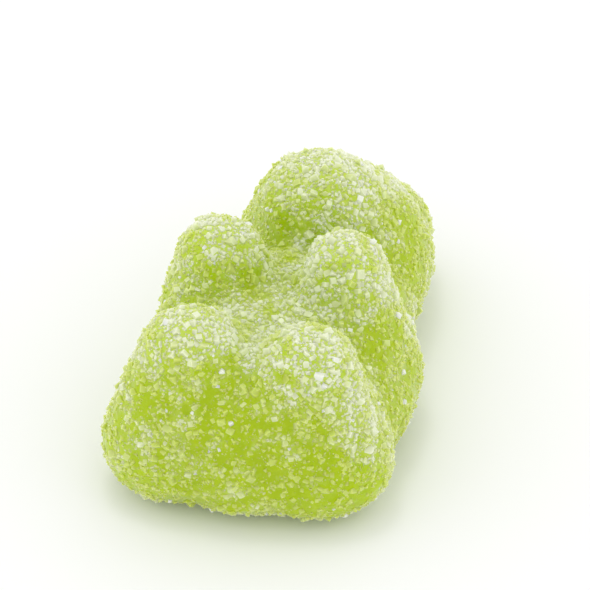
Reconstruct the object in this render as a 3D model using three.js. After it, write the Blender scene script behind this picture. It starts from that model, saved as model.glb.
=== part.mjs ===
// A sugar-coated gummy bear, lying on its flat back with its feet towards -Y.
//
// Jelly poured into a starch mould: every form narrows towards the front (+Z), the front is
// rounded all over, and the open side of the mould leaves one flat face, the back, at z = 0.
// The body is a field of rounded lobes that melt into each other. Marching cubes turn the
// field into a skin of even triangles, which the grains of the sugar coat then roughen.
// Millimetres, +Z up, origin at the middle of the back.

import * as THREE from 'three';
import { MarchingCubes } from 'three/addons/objects/MarchingCubes.js';
import { mergeVertices } from 'three/addons/utils/BufferGeometryUtils.js';
import { ImprovedNoise } from 'three/addons/math/ImprovedNoise.js';

// ---- driving dimensions ----
const LENGTH = 21.8;            // crown to soles, along Y
const WIDTH = 12.6;             // across the feet, along X
const THICKNESS = 9.6;          // back to the tips of the paws, along Z

const SOLE_Y = -LENGTH / 2;
const EAR_END_Y = LENGTH / 2 - 0.1;
const CROWN_Y = EAR_END_Y - 1.3;   // the crown lies back between the ears
const FOOT_Y = SOLE_Y + 3.0;    // middle of the feet
const ARM_Y = -1.4;             // middle of the arms
const SNOUT_Y = 4.5;            // middle of the snout

const FOOT_HALF_WIDTH = WIDTH / 2 - 0.3;
const ARM_HALF_WIDTH = 5.7;
const TRUNK_HALF_WIDTH = 5.45;
const NECK_HALF_WIDTH = 4.1;
const HEAD_HALF_WIDTH = 3.85;
const SNOUT_HALF_WIDTH = 2.15;
const HEAD_X = 0.4;             // the head sits a little to the right of the feet
const SNOUT_X = -0.2;

const ROOT_Z = 2.7;             // below this height the sides run straight down to the back
const FOOT_TOP = 9.2;
const ARM_TOP = THICKNESS - 0.3;
const CROTCH_TOP = 7.6;         // bottom of the notch between the feet
const BELLY_TOP = 7.1;
const CHEST_TOP = 6.4;
const SNOUT_TOP = 8.5;
const EAR_TOP = 5.0;

const SOLE_LEAN = 0.12;         // how far the soles lean in for each millimetre of height
const SOLE_BOW = 0.034;         // how fast the soles curve away from their middle
const SOLE_MIDDLE_X = -1.5;

const LIMB_MELT = 1.0;          // rounding in the grooves between limbs and trunk
const FORM_MELT = 1.6;          // rounding between the lobes of one form
const BACK_EDGE = 3.0;          // reach of the rounding where the sides meet the back
const SOLE_EDGE = 1.9;          // reach of the rounding round the soles

const SWELL = 0.10;             // slow unevenness of the jelly
const SWELL_SIZE = 4.5;

const CELL = 0.5;               // spacing of the skin
const SKIN_ROUNDS = 12;         // rounds of evening out the skin
const GRAIN_SHARE = 0.34;       // share of the skin's points that carry a sugar grain
const GRAIN_LOW = 0.09;
const GRAIN_HIGH = 0.21;
const GRAIN_DRIFT = 0.24;       // how far a grain may lie from its point
const GRAIN_CLEAR = 0.5;        // height over the back below which the coat fades out
const SEED = 20;

const JELLY = { color: 0xa9c92b, roughness: 0.55, metalness: 0 };

// ---- the field: below zero inside the jelly ----

// A lobe is a ball that is drawn from one place to another while its radius changes.
function lobe(from, fromRadius, to, toRadius) {
  const start = new THREE.Vector3(...from);
  const run = new THREE.Vector3(...to).sub(start);
  const runSquared = run.lengthSq();
  const offset = new THREE.Vector3();
  return (point) => {
    offset.copy(point).sub(start);
    const along = THREE.MathUtils.clamp(offset.dot(run) / runSquared, 0, 1);
    offset.addScaledVector(run, -along);
    return offset.length() - THREE.MathUtils.lerp(fromRadius, toRadius, along);
  };
}

function meltTogether(a, b, reach) {
  const overlap = Math.max(reach - Math.abs(a - b), 0) / reach;
  return Math.min(a, b) - overlap * overlap * reach / 4;
}

function cutBy(a, b, reach) {
  return -meltTogether(-a, -b, reach);
}

function joined(lobes, reach) {
  return (point) => lobes.reduce((sum, form) => meltTogether(sum, form(point), reach), Infinity);
}

// A limb is a ridge up the side of the body, wide at its root and round at its tip.
function limbLobes({ side, y, rootX, rootRadius, rootEnds, tipX, tipRadius, tipEnds, top }) {
  return [0, 1].map((end) => lobe(
    [side * rootX, y + rootEnds[end], ROOT_Z], rootRadius,
    [tipX, y + tipEnds[end], top - tipRadius], tipRadius,
  ));
}

function footLobes(side, bulk) {
  const rootRadius = 2.5 * bulk;
  return limbLobes({
    side,
    y: FOOT_Y,
    rootX: FOOT_HALF_WIDTH - rootRadius,
    rootRadius,
    rootEnds: [-0.5, 0.5],
    tipX: side * 2.5 + 0.1,
    tipRadius: 2.0 * bulk,
    tipEnds: [-0.1, 0.5],
    top: FOOT_TOP,
  });
}

// An arm's root reaches down the flank to the hip.
function armLobes({ side, halfWidth, tipX, tipRadius, top }) {
  const rootRadius = 2.0;
  return limbLobes({
    side,
    y: ARM_Y,
    rootX: halfWidth - rootRadius,
    rootRadius,
    rootEnds: [-2.2, 0.4],
    tipX,
    tipRadius,
    tipEnds: [0, 0.3],
    top,
  });
}

// The jelly between the feet makes one even sole of them, with a notch at its top.
function seatLobes() {
  const seatRadius = 3.2;
  const webRadius = 2.8;
  const webZ = CROTCH_TOP - webRadius;
  return [
    lobe([0, FOOT_Y, 3.4], seatRadius, [0, FOOT_Y, 4.0], seatRadius - 0.2),
    lobe([-1.2, FOOT_Y, webZ], webRadius, [1.4, FOOT_Y, webZ], webRadius),
  ];
}

function trunkLobes() {
  const hipRadius = 3.9;
  const neckRadius = 3.2;
  const sides = [-1, 1].map((side) => lobe(
    [side * (TRUNK_HALF_WIDTH - hipRadius), FOOT_Y + 1.6, ROOT_Z], hipRadius,
    [0.7 * HEAD_X + side * (NECK_HALF_WIDTH - neckRadius), 3.4, ROOT_Z], neckRadius,
  ));
  const bellyRadius = 3.0;
  const chestRadius = 2.7;
  const bellies = [-1, 1].map((side) => lobe(
    [side * 1.2, ARM_Y - 2.4, BELLY_TOP - bellyRadius], bellyRadius,
    [side * 0.4, ARM_Y + 0.6, CHEST_TOP - chestRadius], chestRadius,
  ));
  return [...sides, ...bellies];
}

function headLobes(side) {
  const cheekRadius = 2.6;
  const browRadius = 2.5;
  const crownRadius = 1.9;
  const brow = [HEAD_X / 2 + side, SNOUT_Y + 1.2, 3.9];
  const cheekX = HEAD_X + side * (HEAD_HALF_WIDTH - cheekRadius);
  const cheek = lobe([cheekX, SNOUT_Y + 1.5, ROOT_Z], cheekRadius, brow, browRadius);
  const crownFrom = [HEAD_X + side, CROWN_Y - crownRadius, ROOT_Z];
  const crown = lobe(crownFrom, crownRadius, brow, browRadius);
  const snoutRadius = 1.5;
  const snoutX = SNOUT_X + side * (SNOUT_HALF_WIDTH - snoutRadius);
  const snoutZ = SNOUT_TOP - snoutRadius;
  const noseTip = [snoutX, SNOUT_Y + 0.5, snoutZ];
  const chinTip = [snoutX, SNOUT_Y - 0.5, snoutZ - 0.1];
  const nose = lobe([side * 0.3, SNOUT_Y + 1.4, 4.8], 2.3, noseTip, snoutRadius);
  const chin = lobe([side * 0.6, SNOUT_Y + 0.3, 4.2], 2.2, chinTip, snoutRadius);
  return [cheek, crown, nose, chin];
}

function earLobe(x, endY, bulk) {
  const rootRadius = 1.75 * bulk;
  const tipRadius = 1.4 * bulk;
  return lobe(
    [x, endY - rootRadius, ROOT_Z], rootRadius,
    [1.1 * x, endY - 2.3, EAR_TOP - tipRadius], tipRadius,
  );
}

// The left side (-X) has the larger foot and ear, and the shorter, thicker arm.
const leftArm = {
  side: -1,
  halfWidth: ARM_HALF_WIDTH - 0.15,
  tipX: -2.95,
  tipRadius: 1.5,
  top: ARM_TOP - 0.2,
};
const rightArm = {
  side: 1,
  halfWidth: ARM_HALF_WIDTH + 0.15,
  tipX: 2.5,
  tipRadius: 1.35,
  top: ARM_TOP + 0.15,
};
const forms = [
  joined([...footLobes(-1, 1.05), ...footLobes(1, 0.97), ...seatLobes()], LIMB_MELT),
  joined(armLobes(leftArm), FORM_MELT),
  joined(armLobes(rightArm), FORM_MELT),
  joined(trunkLobes(), FORM_MELT),
  joined([...headLobes(-1), ...headLobes(1)], FORM_MELT),
  earLobe(-2.2, EAR_END_Y, 0.98),
  earLobe(1.95, EAR_END_Y - 0.4, 0.9),
];

const noise = new ImprovedNoise();
const raised = new THREE.Vector3();

function bear(point) {
  raised.set(point.x, point.y, Math.max(point.z, ROOT_Z));
  let depth = Infinity;
  for (const form of forms) {
    depth = meltTogether(depth, form(raised), LIMB_MELT);
  }
  const swell = noise.noise(point.x / SWELL_SIZE, point.y / SWELL_SIZE, point.z / SWELL_SIZE);
  const bow = SOLE_BOW * (point.x - SOLE_MIDDLE_X) ** 2;
  const soles = SOLE_Y + SOLE_LEAN * point.z + bow - point.y;
  depth = cutBy(depth - SWELL * swell, soles, SOLE_EDGE);
  return cutBy(depth, -point.z, BACK_EDGE);
}

function slopeAt(point, slope) {
  const step = 0.01;
  const probe = new THREE.Vector3();
  for (const axis of ['x', 'y', 'z']) {
    probe.copy(point);
    probe[axis] += step;
    const ahead = bear(probe);
    probe[axis] -= 2 * step;
    slope[axis] = (ahead - bear(probe)) / (2 * step);
  }
  return slope;
}

// ---- the skin ----

// Marching cubes over a cube of cells round the bear, with no row of corners on the back's plane.
function rawSkin() {
  const cells = Math.ceil((LENGTH + 3) / CELL);
  const cubes = new MarchingCubes(cells, new THREE.MeshBasicMaterial(), false, false, 20000);
  cubes.isolation = 0;
  const corner = new THREE.Vector3();
  const centre = new THREE.Vector3(0, 0, CELL * (Math.round(THICKNESS / 2 / CELL) + 0.5));
  for (let i = 0; i < cubes.size3; i += 1) {
    corner.set(i % cells, Math.floor(i / cells) % cells, Math.floor(i / cubes.size2));
    corner.subScalar(cubes.halfsize).multiplyScalar(CELL).add(centre);
    cubes.field[i] = -bear(corner);
  }
  cubes.update();
  const skin = new THREE.BufferGeometry();
  const corners = cubes.positionArray.slice(0, cubes.count * 3);
  skin.setAttribute('position', new THREE.BufferAttribute(corners, 3));
  skin.scale(cubes.halfsize * CELL, cubes.halfsize * CELL, cubes.halfsize * CELL);
  skin.translate(centre.x, centre.y, centre.z);
  return mergeVertices(skin, 1e-3);
}

// Triangles that have shrunk to a line when their corners were merged are left out.
function soundTriangles(geometry) {
  const index = geometry.index.array;
  const kept = [];
  for (let corner = 0; corner < index.length; corner += 3) {
    const [a, b, c] = index.slice(corner, corner + 3);
    if (a !== b && b !== c && c !== a) {
      kept.push(a, b, c);
    }
  }
  return kept;
}

function neighboursOf(points, index) {
  const neighbours = points.map(() => new Set());
  for (let corner = 0; corner < index.length; corner += 3) {
    const [a, b, c] = index.slice(corner, corner + 3);
    neighbours[a].add(b).add(c);
    neighbours[b].add(a).add(c);
    neighbours[c].add(a).add(b);
  }
  return neighbours;
}

// Points move to the middle of their neighbours and back onto the jelly, which evens out the skin.
function evenOut(points, neighbours) {
  const middles = points.map((point, i) => {
    const middle = new THREE.Vector3();
    for (const other of neighbours[i]) {
      middle.add(points[other]);
    }
    return middle.divideScalar(neighbours[i].size).lerp(point, 0.3);
  });
  const slope = new THREE.Vector3();
  points.forEach((point, i) => {
    point.copy(middles[i]);
    for (let step = 0; step < 3; step += 1) {
      slopeAt(point, slope);
      point.addScaledVector(slope, -bear(point) / slope.lengthSq());
    }
  });
}

// ---- the sugar coat ----

// Grains stand proud of the jelly on a share of the points, with no more than two in a cluster.
function addGrains(points, neighbours) {
  const draw = () => THREE.MathUtils.seededRandom();
  THREE.MathUtils.seededRandom(SEED);
  const heights = points.map(() => 0);
  points.forEach((point, i) => {
    const crowded = [...neighbours[i]].filter((other) => heights[other] > 0).length > 1;
    const height = THREE.MathUtils.lerp(GRAIN_LOW, GRAIN_HIGH, draw());
    heights[i] = draw() < GRAIN_SHARE && !crowded ? height : 0;
  });
  const slope = new THREE.Vector3();
  const drift = new THREE.Vector3();
  points.forEach((point, i) => {
    const coat = THREE.MathUtils.smoothstep(point.z, GRAIN_CLEAR / 2, 2 * GRAIN_CLEAR);
    slopeAt(point, slope).normalize();
    drift.set(draw() - 0.5, draw() - 0.5, draw() - 0.5).projectOnPlane(slope);
    point.addScaledVector(drift, GRAIN_DRIFT * coat);
    point.addScaledVector(slope, heights[i] * coat);
  });
}

// The finished form is set to its driving sizes, with its origin at the middle of the back.
function fitToSize(geometry) {
  geometry.computeBoundingBox();
  const middle = geometry.boundingBox.getCenter(new THREE.Vector3());
  const size = geometry.boundingBox.getSize(new THREE.Vector3());
  geometry.translate(-middle.x, -middle.y, 0);
  geometry.scale(WIDTH / size.x, LENGTH / size.y, THICKNESS / size.z);
}

function bearGeometry() {
  const geometry = rawSkin();
  const index = soundTriangles(geometry);
  const position = geometry.attributes.position;
  const points = Array.from({ length: position.count }, (_, i) => (
    new THREE.Vector3().fromBufferAttribute(position, i)));
  const neighbours = neighboursOf(points, index);
  for (let round = 0; round < SKIN_ROUNDS; round += 1) {
    evenOut(points, neighbours);
  }
  addGrains(points, neighbours);
  points.forEach((point, i) => {
    position.setXYZ(i, point.x, point.y, point.z < 1e-3 ? 0 : point.z);
  });
  geometry.setIndex(index);
  fitToSize(geometry);
  geometry.computeVertexNormals();
  return geometry;
}

const model = new THREE.Group();
const gummyBear = new THREE.Mesh(bearGeometry(), new THREE.MeshStandardMaterial(JELLY));
gummyBear.name = 'gummy_bear';
model.add(gummyBear);

export default model;
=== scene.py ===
import math
from functools import partial

import bmesh
import bpy
import numpy as np
from bpy.props import FloatProperty, FloatVectorProperty, IntProperty, PointerProperty
from mathutils import Euler, Matrix, Vector, kdtree, noise


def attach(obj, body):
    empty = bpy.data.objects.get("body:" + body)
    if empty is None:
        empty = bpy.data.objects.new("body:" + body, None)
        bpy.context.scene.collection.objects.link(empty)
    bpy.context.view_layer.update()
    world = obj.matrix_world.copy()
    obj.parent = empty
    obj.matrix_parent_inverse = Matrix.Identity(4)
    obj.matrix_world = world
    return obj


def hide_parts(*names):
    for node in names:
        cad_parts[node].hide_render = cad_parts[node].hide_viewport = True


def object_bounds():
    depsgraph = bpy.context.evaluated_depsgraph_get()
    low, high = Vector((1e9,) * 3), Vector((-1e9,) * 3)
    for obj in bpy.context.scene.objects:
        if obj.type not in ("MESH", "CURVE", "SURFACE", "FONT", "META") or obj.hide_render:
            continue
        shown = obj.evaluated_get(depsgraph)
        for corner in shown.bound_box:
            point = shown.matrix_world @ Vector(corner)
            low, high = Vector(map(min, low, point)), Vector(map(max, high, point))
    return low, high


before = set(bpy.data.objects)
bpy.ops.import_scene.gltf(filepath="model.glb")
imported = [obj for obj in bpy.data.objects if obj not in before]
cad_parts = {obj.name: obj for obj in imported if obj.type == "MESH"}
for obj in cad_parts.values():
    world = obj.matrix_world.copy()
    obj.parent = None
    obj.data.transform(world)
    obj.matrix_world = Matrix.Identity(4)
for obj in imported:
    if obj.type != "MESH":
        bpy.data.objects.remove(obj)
CAD_BOX = [list(corner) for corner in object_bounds()]

bl_info = {
    "name": "Sugared gummy bear",
    "version": (1, 0, 0),
    "blender": (4, 5, 0),
    "location": "3D View > Sidebar > Gummy Bear",
    "description": "Builds a sugar-coated jelly bear, its crystals and a pale stage",
    "category": "Add Mesh",
}

BEAR = "gummy_bear"
BODY = "root"
MM = 0.001
COVER = "sugar_cover"
WHITENESS = "sugar_whiteness"

# Unevenness of the jelly, in layers. Each is given as its size in millimetres, the start of its pattern
# and its weight.
LUMPS = ((1.9, 3.0, 0.6), (0.9, 5.0, 0.4))
PITS = ((0.34, 7.0, 1.0), (0.19, 9.0, 0.5))
FLAT_BELOW = 0.05  # height in millimetres up to which the back stays even

# Unevenness of the sugar, in layers like those.
PATCHES = (
    (4.2, 702.1, 0.40),
    (2.6, 673.2, 0.24),
    (1.7, 616.4, 0.20),
    (1.1, 141.0, 0.25),
    (0.7, 53.0, 0.37),
    (0.45, 31.0, 0.32),
)

# How much sugar sticks to the places of the bear, where 1 is a full coat.
SUGAR_ON_SIDES = 0.20
SUGAR_ON_TIPS = 0.40
SUGAR_FACING_UP = 0.19
SUGAR_TOWARDS_FEET = 0.02  # more for each millimetre
# extra sugar under the snout, whose whiter crystals also lift the shade in the throat hollow as painted
# light
SUGAR_AND_PAINTED_LIGHT_AT_THROAT = 0.20
SUGAR_FACING_AWAY = 0.50
LESS_ON_EARS = 0.15
LESS_ON_SOLES = 0.09
LESS_ON_FLANKS = 0.12
LEAST_ON_FRONT = 0.24
LEAST_SUGAR = 0.16

# The shapes of the crystals, which are cut at a length of 1, as ranges.
SHAPES_IN_GRADE = 16
CRYSTAL_WIDTH = (0.6, 0.95)
CRYSTAL_HEIGHT = (0.5, 0.9)
SLANT_ALONG = (-0.25, 0.25)
SLANT_ACROSS = (-0.2, 0.2)
CHIP_LEAN = (0.6, 1.4)
CHIP_DEPTH = (0.12, 0.30)
SPLINTER_TIP = (0.25, 0.5)
SPLINTER_DEPTH = (0.5, 1.0)

# How the crystals lie. What is a length here is a share of the crystal's own.
SIZE_SPREAD = 0.2
SIZE_LIMITS = (0.6, 1.6)
RISE = (-0.20, 0.14)
TILT_SPREAD = 0.6
CLEARANCE = 0.8  # how close two may lie, as a share of their half lengths together

# How white the crystals are, from 0 for clear to 1 for white.
CLOUD_GAIN = 1.8
CLOUD_START = 0.5
CLOUD_SPREAD = 0.14
ROOT_WHITE = 0.55  # of the whiteness at the tip
# painted highlight: even clear crystals are painted this white at their tips
TIP_WHITE_AND_HIGHLIGHT = 0.22
# share of crystals painted quite white, both white grains and painted glints
WHITE_GRAIN_AND_GLINT_SHARE = 0.02
USUAL_WHITE = 0.75

FLOOR_DROP = 0.01 * MM
LAMP_WIDTH = 0.08
LAMP_PLACE = (-0.04, 0.02, 0.33)  # from the middle of the bear


class JellySettings(bpy.types.PropertyGroup):
    """The moulded jelly under the sugar."""

    skin_cell: FloatProperty(
        name="Skin cell",
        description="Width of one face of the jelly's skin",
        default=0.12 * MM,
        min=0.1 * MM,
        max=0.5 * MM,
        precision=6,
        unit="LENGTH",
    )
    softening: IntProperty(
        name="Softening",
        description="Rounds of smoothing that turn the mould's grain into soft jelly",
        default=34,
        min=0,
        max=200,
    )
    sugar_room: FloatProperty(
        name="Room for sugar",
        description="How far the skin lies inside the moulded form, which the crystals fill",
        default=0.01 * MM,
        min=0.0,
        max=0.3 * MM,
        precision=6,
        unit="LENGTH",
    )
    lump_height: FloatProperty(
        name="Lump height",
        description="Height of the broad, uneven lumps of the skin",
        default=0.07 * MM,
        min=0.0,
        max=0.4 * MM,
        precision=6,
        unit="LENGTH",
    )
    pit_depth: FloatProperty(
        name="Pit depth",
        description="Depth of the small pits that the grains press into the skin",
        default=0.05 * MM,
        min=0.0,
        max=0.2 * MM,
        precision=6,
        unit="LENGTH",
    )
    bare_colour: FloatVectorProperty(
        name="Bare jelly",
        description="Colour of the jelly where little sugar lies on it",
        subtype="COLOR",
        size=4,
        min=0.0,
        max=1.0,
        default=(0.40, 0.53, 0.004, 1.0),
    )
    frosted_colour: FloatVectorProperty(
        name="Frosted jelly",
        description="Colour of the jelly where fine sugar has melted into its skin",
        subtype="COLOR",
        size=4,
        min=0.0,
        max=1.0,
        default=(0.49, 0.60, 0.11, 1.0),
    )


class SugarSettings(bpy.types.PropertyGroup):
    """The four grades of sugar on the jelly."""

    large_size: FloatProperty(
        name="Large crystal",
        description="Usual length of a large crystal",
        default=0.25 * MM,
        min=0.1 * MM,
        max=1.0 * MM,
        precision=6,
        unit="LENGTH",
    )
    large_tries: IntProperty(
        name="Large crystals thrown",
        description="Large crystals thrown at the jelly, of which those that find room stick",
        default=7000,
        min=0,
        max=60000,
    )
    medium_size: FloatProperty(
        name="Medium crystal",
        description="Usual length of a medium crystal",
        default=0.17 * MM,
        min=0.05 * MM,
        max=0.6 * MM,
        precision=6,
        unit="LENGTH",
    )
    medium_tries: IntProperty(
        name="Medium crystals thrown",
        description="Medium crystals thrown at the jelly, of which those that find room stick",
        default=20000,
        min=0,
        max=80000,
    )
    small_size: FloatProperty(
        name="Small crystal",
        description="Usual length of a small crystal",
        default=0.115 * MM,
        min=0.05 * MM,
        max=0.6 * MM,
        precision=6,
        unit="LENGTH",
    )
    small_tries: IntProperty(
        name="Small crystals thrown",
        description="Small crystals thrown at the jelly, of which those that find room stick",
        default=40000,
        min=0,
        max=120000,
    )
    dust_size: FloatProperty(
        name="Splinter",
        description="Usual length of a splinter of sugar dust",
        default=0.075 * MM,
        min=0.02 * MM,
        max=0.3 * MM,
        precision=6,
        unit="LENGTH",
    )
    dust_tries: IntProperty(
        name="Splinters thrown",
        description="Splinters of sugar dust thrown at the jelly, of which those that find room stick",
        default=60000,
        min=0,
        max=200000,
    )
    throw: IntProperty(
        name="Throw",
        description="Number of the throw, which settles where each crystal lands",
        default=7,
        min=0,
    )
    clear_colour: FloatVectorProperty(
        name="Clear crystal",
        description="Colour of a clear crystal, through which the jelly shows",
        subtype="COLOR",
        size=4,
        min=0.0,
        max=1.0,
        default=(0.45, 0.55, 0.015, 1.0),
    )
    white_colour: FloatVectorProperty(
        name="White crystal",
        description="Colour of a cloudy white crystal",
        subtype="COLOR",
        size=4,
        min=0.0,
        max=1.0,
        default=(0.78, 0.80, 0.70, 1.0),
    )


class StageSettings(bpy.types.PropertyGroup):
    """The pale floor, the soft light and the camera."""

    floor_width: FloatProperty(
        name="Floor width",
        description="Width of the square floor",
        default=3.0,
        min=0.1,
        unit="LENGTH",
    )
    floor_colour: FloatVectorProperty(
        name="Floor",
        description="Colour of the floor",
        subtype="COLOR",
        size=4,
        min=0.0,
        max=1.0,
        default=(0.93, 0.93, 0.93, 1.0),
    )
    room_light: FloatProperty(
        name="Room light",
        description="Strength of the even light from all round",
        default=1.05,
        min=0.0,
    )
    lamp_power: FloatProperty(
        name="Lamp power",
        description="Power of the lamp over the bear, which makes the crystals glint",
        default=0.09,
        min=0.0,
        subtype="POWER",
        unit="POWER",
    )
    camera_turn: FloatProperty(
        name="Camera turn",
        description="How far the camera stands to the bear's side, from straight ahead of its feet",
        default=math.radians(15.0),
        subtype="ANGLE",
        unit="ROTATION",
    )
    camera_rise: FloatProperty(
        name="Camera rise",
        description="How far the camera looks down on the bear",
        default=math.radians(37.0),
        subtype="ANGLE",
        unit="ROTATION",
    )
    lens: FloatProperty(
        name="Lens",
        description="Focal length of the camera",
        default=800.0,
        min=20.0,
        subtype="DISTANCE_CAMERA",
        unit="CAMERA",
    )
    view_width: FloatProperty(
        name="View width",
        description="How much of the bear's surroundings the picture takes in, across its middle",
        default=25.0 * MM,
        min=5.0 * MM,
        precision=6,
        unit="LENGTH",
    )


def after_modifiers(mesh, *modifiers):
    """The mesh that these modifiers make of the given one, each given as its type and its values."""
    holder = bpy.data.objects.new("holder", mesh)
    bpy.context.scene.collection.objects.link(holder)
    for kind, values in modifiers:
        modifier = holder.modifiers.new(kind.title(), kind)
        for name, value in values.items():
            setattr(modifier, name, value)
    graph = bpy.context.evaluated_depsgraph_get()
    made = bpy.data.meshes.new_from_object(holder.evaluated_get(graph))
    bpy.data.objects.remove(holder)
    return made


def place_piece(name, mesh, material):
    """Puts a mesh shaped in millimetres into the scene as a finished piece that rides with the bear."""
    mesh.transform(Matrix.Scale(MM, 4))
    mesh.name = name
    mesh.materials.clear()
    mesh.materials.append(material)
    piece = bpy.data.objects.new(name, mesh)
    bpy.context.scene.collection.objects.link(piece)
    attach(piece, BODY)
    return piece


def points_of(mesh):
    """The mesh's points as rows of an array."""
    points = np.empty(len(mesh.vertices) * 3, np.float32)
    mesh.vertices.foreach_get("co", points)
    return points.reshape(-1, 3).astype(float)


def normals_of(mesh):
    """The mesh's point normals as rows of an array."""
    normals = np.empty(len(mesh.vertices) * 3, np.float32)
    mesh.vertex_normals.foreach_get("vector", normals)
    return normals.reshape(-1, 3).astype(float)


def set_points(mesh, points):
    """Moves the mesh's points to the rows of an array."""
    mesh.vertices.foreach_set("co", points.astype(np.float32).ravel())
    mesh.update()


def add_values(mesh, name, values):
    """Stores one number for each point of the mesh, for its material to read."""
    attribute = mesh.attributes.new(name, "FLOAT", "POINT")
    attribute.data.foreach_set("value", np.asarray(values, np.float32))


def wander(points, size, start):
    """A smooth value from about -1 to 1 at each point, which wanders over the given size."""
    origin = Vector((start, 0.37 * start, 0.61 * start))
    return np.array([noise.noise(Vector(point) / size + origin) for point in points])


def moulded_form():
    """A merged copy of the moulded solid, in millimetres."""
    form = bmesh.new()
    form.from_mesh(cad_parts[BEAR].data)
    bmesh.ops.remove_doubles(form, verts=form.verts, dist=1e-7)
    bmesh.ops.scale(form, vec=(1 / MM, 1 / MM, 1 / MM), verts=form.verts)
    mesh = bpy.data.meshes.new("moulded_form")
    form.to_mesh(mesh)
    form.free()
    return mesh


def ramp(values, low, high):
    """Rises smoothly from 0 to 1 while the values go from low to high."""
    share = np.clip((values - low) / (high - low), 0, 1)
    return share * share * (3 - 2 * share)


def fade(values, low, high):
    """Falls smoothly from 1 to 0 while the values go from low to high."""
    return 1 - ramp(values, low, high)


def sugar_cover(points, normals):
    """How much sugar sticks to each point, where 1 is a full coat.

    It lies thickest on the tips of the feet, arms and snout, and thinner on the soles, the flanks and the
    ears, and some has gathered under the snout, where its whiter crystals are also painted light that
    lifts the shade in the throat hollow. The faces that look away from the feet or down hold a middling
    coat.
    Patches make it uneven everywhere, and no spot is quite bare. Points are in millimetres.
    """
    x, y, z = points.T
    sides = ramp(z, 0.0, 4.5)
    tips = ramp(z, 5.5, 9.0)
    soles = fade(y, -9.5, -8.0)
    ears = ramp(y, 6.0, 8.0)
    throat_hollow = ramp(y, 1.2, 2.6) * fade(y, 4.0, 5.0) * fade(z, 6.8, 8.0) * fade(abs(x), 1.5, 2.5)
    flanks = ramp(abs(x), 3.2, 4.4) * fade(z, 5.0, 6.5) * fade(abs(y + 1.5), 3.0, 4.5)
    cover = SUGAR_ON_SIDES * sides + SUGAR_ON_TIPS * tips + SUGAR_FACING_UP * normals[:, 2]
    cover -= SUGAR_TOWARDS_FEET * y + LESS_ON_EARS * ears
    cover = np.maximum(cover, LEAST_ON_FRONT - LESS_ON_SOLES * soles)
    # painted light: the extra sugar in the throat hollow also lifts the shade there
    cover += SUGAR_AND_PAINTED_LIGHT_AT_THROAT * throat_hollow - LESS_ON_FLANKS * flanks
    away = np.maximum(ramp(normals[:, 1], 0.0, 0.5), fade(normals[:, 2], -0.8, -0.6))
    cover += (SUGAR_FACING_AWAY - cover) * away
    cover += sum(weight * wander(points, size, start) for size, start, weight in PATCHES)
    return np.clip(cover, LEAST_SUGAR, 1.0)


def jelly_skin(settings):
    """The bear's skin in millimetres, with its lumps and pits, and how much sugar each point holds."""
    skin = after_modifiers(
        moulded_form(),
        ("REMESH", {"mode": "VOXEL", "voxel_size": settings.skin_cell / MM}),
        ("SMOOTH", {"factor": 0.5, "iterations": settings.softening}),
    )
    points, normals = points_of(skin), normals_of(skin)
    add_values(skin, COVER, sugar_cover(points, normals))
    lumps = sum(weight * wander(points, size, start) for size, start, weight in LUMPS)
    pits = sum(weight * np.abs(wander(points, size, start)) for size, start, weight in PITS)
    rise = (
        lumps * settings.lump_height - pits * settings.pit_depth - settings.sugar_room
    ) / MM
    on_back = points[:, 2] < FLAT_BELOW
    rise[on_back] = -settings.sugar_room / MM
    set_points(skin, points + normals * rise[:, None])
    skin.shade_smooth()
    return skin


class MakeJellyBody(bpy.types.Operator):
    """Make the jelly body from the moulded solid"""

    bl_idname = "gummy.jelly_body"
    bl_label = "Jelly body"
    bl_options = {"REGISTER", "UNDO"}

    def execute(self, context):
        settings = context.scene.gummy_jelly
        body = place_piece("jelly_body", jelly_skin(settings), jelly_material(settings))
        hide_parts(BEAR)
        return {"FINISHED"}


def cut_crystal(rng, chips):
    """One sugar crystal of length 1: a slanted block with some of its corners chipped off."""
    crystal = bmesh.new()
    bmesh.ops.create_cube(crystal, size=1.0)
    block = (1.0, rng.uniform(*CRYSTAL_WIDTH), rng.uniform(*CRYSTAL_HEIGHT))
    bmesh.ops.scale(crystal, vec=block, verts=crystal.verts)
    slant = Matrix.Shear("XY", 4, (rng.uniform(*SLANT_ALONG), rng.uniform(*SLANT_ACROSS)))
    bmesh.ops.transform(crystal, matrix=slant, verts=crystal.verts)
    for _ in range(chips):
        corner = crystal.verts[:][rng.integers(len(crystal.verts))].co.copy()
        lean = Vector([rng.uniform(*CHIP_LEAN) for _ in range(3)])
        normal = (corner * lean).normalized()
        cut = bmesh.ops.bisect_plane(
            crystal,
            geom=crystal.verts[:] + crystal.edges[:] + crystal.faces[:],
            plane_co=corner - normal * rng.uniform(*CHIP_DEPTH),
            plane_no=normal,
            clear_outer=True,
        )
        rim = [part for part in cut["geom_cut"] if isinstance(part, bmesh.types.BMEdge)]
        bmesh.ops.edgenet_fill(crystal, edges=rim)
    bmesh.ops.recalc_face_normals(crystal, faces=crystal.faces)
    mesh = bpy.data.meshes.new("crystal")
    crystal.to_mesh(mesh)
    crystal.free()
    return mesh


def cut_splinter(rng):
    """One splinter of sugar dust of about length 1: a wedge with three sides."""
    splinter = bmesh.new()
    bmesh.ops.create_cone(
        splinter,
        cap_ends=True,
        segments=3,
        radius1=0.5,
        radius2=rng.uniform(*SPLINTER_TIP),
        depth=rng.uniform(*SPLINTER_DEPTH),
    )
    mesh = bpy.data.meshes.new("splinter")
    splinter.to_mesh(mesh)
    splinter.free()
    return mesh


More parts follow.
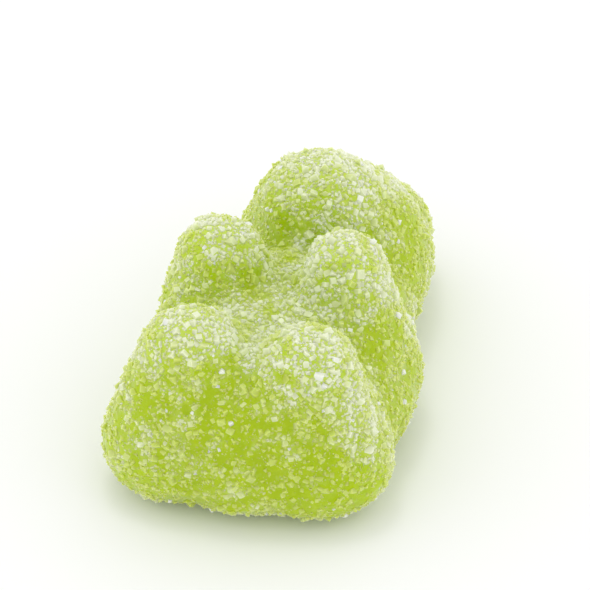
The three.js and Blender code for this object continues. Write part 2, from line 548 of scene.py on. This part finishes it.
class SkinTable:
    """The skin's triangles as arrays, in millimetres, from which landing spots are drawn."""

    def __init__(self, mesh):
        mesh.calc_loop_triangles()
        corners = np.empty(len(mesh.loop_triangles) * 3, np.int32)
        mesh.loop_triangles.foreach_get("vertices", corners)
        self.triangles = corners.reshape(-1, 3)
        self.points = points_of(mesh) / MM
        self.normals = normals_of(mesh)
        cover = np.empty(len(mesh.vertices), np.float32)
        mesh.attributes[COVER].data.foreach_get("value", cover)
        self.cover = cover
        a, b, c = (self.points[self.triangles[:, i]] for i in range(3))
        areas = np.linalg.norm(np.cross(b - a, c - a), axis=1)
        self.shares = areas / areas.sum()

    def spots(self, rng, count):
        """Points, normals and sugar cover at random places on the skin."""
        chosen = self.triangles[rng.choice(len(self.triangles), count, p=self.shares)]
        weights = rng.dirichlet((1.0, 1.0, 1.0), count)
        points = np.einsum("ij,ijk->ik", weights, self.points[chosen])
        normals = np.einsum("ij,ijk->ik", weights, self.normals[chosen])
        return points, normals, np.einsum("ij,ij->i", weights, self.cover[chosen])


def settle(points, sizes, cover, rng, placed):
    """Which of the thrown crystals stick: where sugar holds, and clear of those that already lie there.

    Each of those that lie there is given as its middle and half its length. The longest settle first.
    """
    holding = np.flatnonzero(rng.random(len(points)) < cover)
    thrown = holding[np.argsort(-sizes[holding])]
    crystals = [*placed, *((Vector(points[i]), sizes[i] / 2) for i in thrown)]
    tree = kdtree.KDTree(len(crystals))
    for i, (middle, _) in enumerate(crystals):
        tree.insert(middle, i)
    tree.balance()
    widest = max(half for _, half in crystals)
    lying = [True] * len(placed) + [False] * len(thrown)
    kept = []
    for i, (middle, half) in enumerate(crystals[len(placed) :], len(placed)):
        near = tree.find_range(middle, CLEARANCE * (half + widest))
        if all(gap > CLEARANCE * (half + crystals[j][1]) for _, j, gap in near if lying[j]):
            lying[i] = True
            kept.append(thrown[i - len(placed)])
    return kept


def whiteness(proud, counts, cover, rng):
    """How white each point of the crystals is.

    Crystals are cloudier where the coat is full. Each is clearer at its root, where it sits in the jelly,
    and whiter at its tip, partly as a painted highlight. A few are quite white, both as white grains and
    as painted glints.
    The counts are each crystal's number of points, and proud is how far a point stands out of the skin.
    """
    clouding = CLOUD_GAIN * cover - CLOUD_START + rng.normal(0, CLOUD_SPREAD, len(counts))
    cloudy = np.repeat(np.clip(clouding, 0, 1), counts)
    # whiter towards each tip, partly a painted highlight
    tips = ramp(proud, -0.1, 0.4)
    white = np.maximum(cloudy * (ROOT_WHITE + (1 - ROOT_WHITE) * tips), TIP_WHITE_AND_HIGHLIGHT * tips)
    # a few crystals painted quite white, both white grains and painted glints
    white_grain_and_glint = np.repeat(rng.random(len(counts)) < WHITE_GRAIN_AND_GLINT_SHARE, counts)
    return np.where(white_grain_and_glint, 1.0, USUAL_WHITE * white)


def lay_crystals(shapes, points, normals, sizes, cover, rng):
    """One mesh of all the crystals, each turned at random and partly sunk into the skin."""
    bed = bmesh.new()
    counts = []
    for point, normal, size in zip(points, normals, sizes):
        shape = shapes[rng.integers(len(shapes))].copy()
        rise = Vector(normal).normalized() * size * rng.uniform(*RISE)
        tilt = rng.normal(0, TILT_SPREAD), rng.normal(0, TILT_SPREAD), rng.uniform(0, math.tau)
        turn = Vector(normal).to_track_quat("Z", "Y").to_matrix() @ Euler(tilt).to_matrix()
        place = Matrix.Translation(Vector(point) + rise)
        shape.transform(place @ turn.to_4x4() @ Matrix.Scale(size, 4))
        bed.from_mesh(shape)
        counts.append(len(shape.vertices))
        bpy.data.meshes.remove(shape)
    for vert in bed.verts:
        vert.co.z = max(vert.co.z, 0.0)
    mesh = bpy.data.meshes.new("crystals")
    bed.to_mesh(mesh)
    bed.free()
    roots, directions = (np.repeat(rows, counts, axis=0) for rows in (points, normals))
    proud = np.einsum("ij,ij->i", points_of(mesh) - roots, directions) / np.repeat(sizes, counts)
    add_values(mesh, WHITENESS, whiteness(proud, counts, cover, rng))
    return mesh


class MakeSugarCoat(bpy.types.Operator):
    """Throw sugar crystals of four grades at the jelly body"""

    bl_idname = "gummy.sugar_coat"
    bl_label = "Sugar coat"
    bl_options = {"REGISTER", "UNDO"}

    def execute(self, context):
        settings = context.scene.gummy_sugar
        body = bpy.data.objects.get("jelly_body")
        if body is None:
            raise RuntimeError("make the jelly body before its sugar coat")
        rng = np.random.default_rng(settings.throw)
        skin = SkinTable(body.data)
        material = sugar_material(settings)
        placed = []
        grades = (
            ("large_sugar", settings.large_size, settings.large_tries, 3),
            ("medium_sugar", settings.medium_size, settings.medium_tries, 2),
            ("small_sugar", settings.small_size, settings.small_tries, 1),
            ("sugar_dust", settings.dust_size, settings.dust_tries, None),
        )
        for name, size, tries, chips in grades:
            cut = cut_splinter if chips is None else partial(cut_crystal, chips=chips)
            shapes = [cut(rng) for _ in range(SHAPES_IN_GRADE)]
            points, normals, cover = skin.spots(rng, tries)
            spread = np.clip(rng.lognormal(0, SIZE_SPREAD, tries), *SIZE_LIMITS)
            sizes = size / MM * spread
            kept = settle(points, sizes, cover, rng, placed)
            placed += [(Vector(points[i]), sizes[i] / 2) for i in kept]
            mesh = lay_crystals(
                shapes, points[kept], normals[kept], sizes[kept], cover[kept], rng
            )
            grains = place_piece(name, mesh, material)
            grains.visible_diffuse = False
            for shape in shapes:
                bpy.data.meshes.remove(shape)
        return {"FINISHED"}


def new_material(name):
    """A material with its node tree and its Principled shader."""
    material = bpy.data.materials.new(name)
    material.use_nodes = True
    return material, material.node_tree, material.node_tree.nodes["Principled BSDF"]


def set_inputs(node, **values):
    """Sets these inputs of the node, whose names have an underline for each space."""
    for name, value in values.items():
        node.inputs[name.replace("_", " ")].default_value = value


def add_node(tree, kind, **values):
    """A node of this kind, with these of its inputs set."""
    node = tree.nodes.new(kind)
    set_inputs(node, **values)
    return node


def add_blend(tree, first, second):
    """A node that blends from the first colour to the second."""
    blend = tree.nodes.new("ShaderNodeMix")
    blend.data_type = "RGBA"
    blend.inputs["A"].default_value = first
    blend.inputs["B"].default_value = second
    return blend


def add_attribute(tree, name):
    """A node that reads the values stored under this name on the mesh."""
    attribute = tree.nodes.new("ShaderNodeAttribute")
    attribute.attribute_name = name
    return attribute


def jelly_material(settings):
    """Translucent green jelly, paler and duller where fine sugar has melted into its skin."""
    material, tree, shader = new_material("sugared_jelly")
    link = tree.links.new
    place = tree.nodes.new("ShaderNodeTexCoord")
    cover = add_attribute(tree, COVER)
    dust = add_node(tree, "ShaderNodeTexNoise", Scale=5200.0, Detail=2.0, Roughness=0.6)
    link(place.outputs["Object"], dust.inputs["Vector"])
    sugar = tree.nodes.new("ShaderNodeMath")
    sugar.operation = "ADD"
    link(dust.outputs["Fac"], sugar.inputs[0])
    link(cover.outputs["Fac"], sugar.inputs[1])
    frost = add_node(tree, "ShaderNodeMapRange", From_Min=0.72, From_Max=1.32)
    link(sugar.outputs[0], frost.inputs["Value"])
    colour = add_blend(tree, settings.bare_colour, settings.frosted_colour)
    link(frost.outputs["Result"], colour.inputs["Factor"])
    link(colour.outputs["Result"], shader.inputs["Base Color"])
    rough = add_node(tree, "ShaderNodeMapRange", To_Min=0.32, To_Max=0.62)
    link(frost.outputs["Result"], rough.inputs["Value"])
    link(rough.outputs["Result"], shader.inputs["Roughness"])
    grit = add_node(tree, "ShaderNodeTexNoise", Scale=9000.0, Detail=3.0, Roughness=0.6)
    link(place.outputs["Object"], grit.inputs["Vector"])
    bump = add_node(tree, "ShaderNodeBump", Strength=0.5, Distance=0.03 * MM)
    link(grit.outputs["Fac"], bump.inputs["Height"])
    link(bump.outputs["Normal"], shader.inputs["Normal"])
    set_inputs(shader, IOR=1.45, Specular_IOR_Level=0.2, Sheen_Weight=0.4, Sheen_Roughness=0.4)
    set_inputs(
        shader, Subsurface_Weight=1.0, Subsurface_Radius=(3.0, 3.4, 0.9), Subsurface_Scale=MM
    )
    return material


def sugar_material(settings):
    """Sugar crystals, from clear ones that take the jelly's colour to cloudy white ones."""
    material, tree, shader = new_material("sugar_crystal")
    link = tree.links.new
    white = add_attribute(tree, WHITENESS)
    colour = add_blend(tree, settings.clear_colour, settings.white_colour)
    link(white.outputs["Fac"], colour.inputs["Factor"])
    link(colour.outputs["Result"], shader.inputs["Base Color"])
    place = tree.nodes.new("ShaderNodeTexCoord")
    scratches = add_node(tree, "ShaderNodeTexNoise", Scale=7000.0, Detail=2.0)
    link(place.outputs["Object"], scratches.inputs["Vector"])
    rough = add_node(tree, "ShaderNodeMapRange", To_Min=0.02, To_Max=0.40)
    link(scratches.outputs["Fac"], rough.inputs["Value"])
    link(rough.outputs["Result"], shader.inputs["Roughness"])
    set_inputs(shader, IOR=1.54, Specular_IOR_Level=0.5, Sheen_Weight=0.4, Sheen_Roughness=0.4)
    set_inputs(
        shader, Subsurface_Weight=1.0, Subsurface_Radius=(0.3, 0.3, 0.25), Subsurface_Scale=MM
    )
    return material


def lay_floor(scene, settings):
    """A plain square floor, just under the bear's back."""
    plane = bmesh.new()
    bmesh.ops.create_grid(plane, x_segments=1, y_segments=1, size=settings.floor_width / 2)
    bmesh.ops.translate(plane, vec=(0.0, 0.0, -FLOOR_DROP), verts=plane.verts)
    mesh = bpy.data.meshes.new("floor")
    plane.to_mesh(mesh)
    plane.free()
    material, _, shader = new_material("pale_floor")
    set_inputs(shader, Base_Color=settings.floor_colour, Roughness=0.9)
    mesh.materials.append(material)
    floor = bpy.data.objects.new("floor", mesh)
    scene.collection.objects.link(floor)


def hang_lamp(scene, settings, middle):
    """A soft square lamp over the bear, turned to its middle."""
    lamp = bpy.data.lights.new("soft_lamp", "AREA")
    lamp.shape = "SQUARE"
    lamp.size = LAMP_WIDTH
    lamp.energy = settings.lamp_power
    holder = bpy.data.objects.new("soft_lamp", lamp)
    holder.location = middle + Vector(LAMP_PLACE)
    holder.rotation_mode = "QUATERNION"
    holder.rotation_quaternion = Vector(LAMP_PLACE).to_track_quat("Z", "Y")
    scene.collection.objects.link(holder)


def light_room(scene, settings):
    """Even white light from all round."""
    world = bpy.data.worlds.new("white_room")
    world.use_nodes = True
    background = world.node_tree.nodes["Background"]
    set_inputs(background, Color=(1.0, 1.0, 1.0, 1.0), Strength=settings.room_light)
    scene.world = world


def place_camera(scene, settings, middle):
    """A long lens that looks down on the bear's feet from its side."""
    turn, rise = settings.camera_turn, settings.camera_rise
    back = Vector(
        (math.sin(turn) * math.cos(rise), -math.cos(turn) * math.cos(rise), math.sin(rise))
    )
    lens = bpy.data.cameras.new("camera")
    lens.lens = settings.lens
    lens.clip_start = 0.01
    lens.clip_end = 20.0
    distance = settings.view_width * settings.lens / lens.sensor_width
    camera = bpy.data.objects.new("camera", lens)
    camera.location = middle + back * distance
    camera.rotation_mode = "QUATERNION"
    camera.rotation_quaternion = back.to_track_quat("Z", "Y")
    scene.collection.objects.link(camera)
    scene.camera = camera


class MakeStage(bpy.types.Operator):
    """Lay the pale floor, hang the soft lamp and place the camera"""

    bl_idname = "gummy.stage"
    bl_label = "Stage and camera"
    bl_options = {"REGISTER", "UNDO"}

    def execute(self, context):
        settings = context.scene.gummy_stage
        scene = context.scene
        low, high = (Vector(corner) for corner in CAD_BOX)
        middle = (low + high) / 2
        lay_floor(scene, settings)
        hang_lamp(scene, settings, middle)
        light_room(scene, settings)
        place_camera(scene, settings, middle)
        scene.view_settings.view_transform = "Standard"
        return {"FINISHED"}


class GummyBearPanel(bpy.types.Panel):
    """Settings and steps of the sugared gummy bear"""

    bl_idname = "VIEW3D_PT_gummy_bear"
    bl_label = "Sugared gummy bear"
    bl_space_type = "VIEW_3D"
    bl_region_type = "UI"
    bl_category = "Gummy Bear"

    def draw(self, context):
        for step, settings in STEPS:
            box = self.layout.box()
            box.operator(step.bl_idname, text=step.bl_label)
            group = getattr(context.scene, settings)
            for name in type(group).__annotations__:
                box.prop(group, name)


STEPS = (
    (MakeJellyBody, "gummy_jelly"),
    (MakeSugarCoat, "gummy_sugar"),
    (MakeStage, "gummy_stage"),
)
GROUPS = {
    "gummy_jelly": JellySettings,
    "gummy_sugar": SugarSettings,
    "gummy_stage": StageSettings,
}
CLASSES = (*GROUPS.values(), MakeJellyBody, MakeSugarCoat, MakeStage, GummyBearPanel)


def register():
    for cls in CLASSES:
        bpy.utils.register_class(cls)
    for name, group in GROUPS.items():
        setattr(bpy.types.Scene, name, PointerProperty(type=group))


def unregister():
    for name in GROUPS:
        delattr(bpy.types.Scene, name)
    for cls in reversed(CLASSES):
        bpy.utils.unregister_class(cls)


def main():
    register()
    bpy.ops.gummy.jelly_body()
    bpy.ops.gummy.sugar_coat()
    bpy.ops.gummy.stage()


if __name__ == "__main__":
    main()
